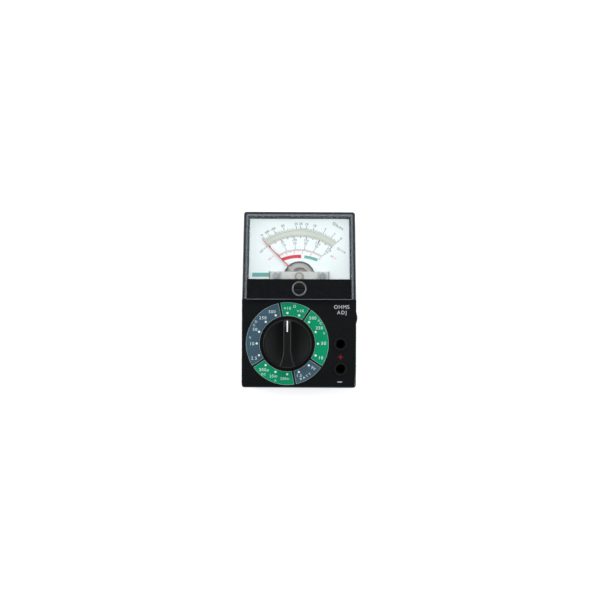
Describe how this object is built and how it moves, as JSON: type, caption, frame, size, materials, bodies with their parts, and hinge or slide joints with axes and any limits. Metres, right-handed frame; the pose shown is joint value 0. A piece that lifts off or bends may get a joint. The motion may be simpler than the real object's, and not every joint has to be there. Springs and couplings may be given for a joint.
{
  "type": "analog multimeter",
  "caption": "Pocket analog multimeter: clear meter window with a moving-coil pointer, range selector knob, two test jacks, ohms thumbwheel and zero adjuster.",
  "frame": {"origin": "under the middle of the meter, on the flat rear face it lies on", "axes": "+X to the user's right, +Y towards the meter window, +Z out of the front panel"},
  "size_m": [0.0638, 0.097, 0.031],
  "materials": {
    "case_plastic": "moulded black ABS, fine matt grain",
    "clear_plastic": "clear moulded polystyrene",
    "black_print": "black screen print",
    "dial_print": "white printed aluminium",
    "pale_plastic": "pale grey moulded frame",
    "pale_metal": "passivated sheet steel",
    "iron": "sintered iron, dark",
    "magnet": "ground magnet alloy",
    "brass": "turned brass",
    "steel": "plated steel",
    "aluminium": "thin aluminium strip",
    "copper": "enamelled copper wire",
    "bronze": "spring bronze",
    "pointer_paint": "red painted aluminium",
    "knob_plastic": "moulded black, satin",
    "white_paint": "white filled line",
    "range_print": "green and grey screen print",
    "nylon": "natural nylon",
    "board": "glass-epoxy board, green",
    "tracks": "plated copper tracks",
    "resistor_body": "lacquered, tan",
    "diode_glass": "orange glass",
    "capacitor_can": "sleeved can, blue",
    "trimmer_body": "moulded, blue",
    "fuse_glass": "clear glass tube",
    "phenolic": "brown phenolic",
    "cell_can": "plain blue sleeve on a steel can",
    "red_sleeve": "red insulated lead"
  },
  "bodies": {
    "case": {"rear_case": "case_plastic", "front_case": "case_plastic", "meter_cover": "clear_plastic", "cover_band": "black_print", "case_screws": "steel", "dial_plate": "dial_print", "movement_frame": "pale_plastic", "frame_screws": "steel", "yoke_ring": "iron", "yoke_screws": "steel", "core_magnet": "magnet", "core_clamp": "brass", "upper_bridge": "pale_metal", "bridge_screws": "steel", "lower_bridge": "brass", "lower_bridge_screws": "steel", "upper_jewel_screw": "brass", "lower_jewel_screw": "brass", "pointer_stops": "steel", "lower_hairspring": "bronze", "range_plate": "range_print", "detent_springs": "steel", "circuit_board": "board", "board_screws": "steel", "switch_tracks": "tracks", "resistors": "resistor_body", "diodes": "diode_glass", "capacitor": "capacitor_can", "trimmer": "trimmer_body", "fuse_glass": "fuse_glass", "fuse_caps": "steel", "fuse_clips": "bronze", "ohm_pot": "phenolic", "jack_socket_plus": "brass", "jack_socket_minus": "brass", "battery_cell": "cell_can", "battery_contacts": "steel", "battery_spring": "steel", "battery_wires": "red_sleeve", "movement_tags": "brass", "movement_wires": "red_sleeve"},
    "selector": {"selector_knob": "knob_plastic", "knob_index": "white_paint", "selector_rotor": "nylon", "rotor_screw": "steel", "wiper_contacts": "bronze"},
    "zero_adjuster": {"zero_screw": "knob_plastic"},
    "zero_arm": {"zero_lever": "steel", "upper_hairspring": "bronze"},
    "pointer": {"coil_former": "aluminium", "moving_coil": "copper", "pivot_shafts": "steel", "balance_cross": "brass", "balance_weights": "brass", "pointer_needle": "pointer_paint"},
    "ohm_adjuster": {"ohm_wheel": "knob_plastic"}
  },
  "joints": [
    {"name": "range_select", "type": "hinge", "parent": "case", "child": "selector", "pos_m": [-0.0064, -0.0242, 0.024], "axis": [0, 0, 1], "continuous": true, "deforming": ["detent_springs"]},
    {"name": "zero_adjust", "type": "hinge", "parent": "case", "child": "zero_adjuster", "pos_m": [0, 0.0061, 0.027], "axis": [0, 0, 1], "range_deg": [-23, 23]},
    {"name": "zero_arm_swing", "type": "hinge", "parent": "case", "child": "zero_arm", "pos_m": [0, 0.0127, 0.0234], "axis": [0, 0, 1], "range_deg": [-4.5, 4.5]},
    {"name": "pointer_swing", "type": "hinge", "parent": "zero_arm", "child": "pointer", "pos_m": [0, 0.0127, 0.021], "axis": [0, 0, -1], "range_deg": [-3, 92], "stiffness_Nm_per_rad": 0.000005, "deforming": ["upper_hairspring", "lower_hairspring"]},
    {"name": "ohm_adjust", "type": "hinge", "parent": "case", "child": "ohm_adjuster", "pos_m": [0.02535, -0.0099, 0.0204], "axis": [0, 0, 1], "range_deg": [-135, 135]}
  ],
  "couplings": [
    {"joint": "zero_arm_swing", "follows": "zero_adjust", "ratio": 0.195}
  ]
}
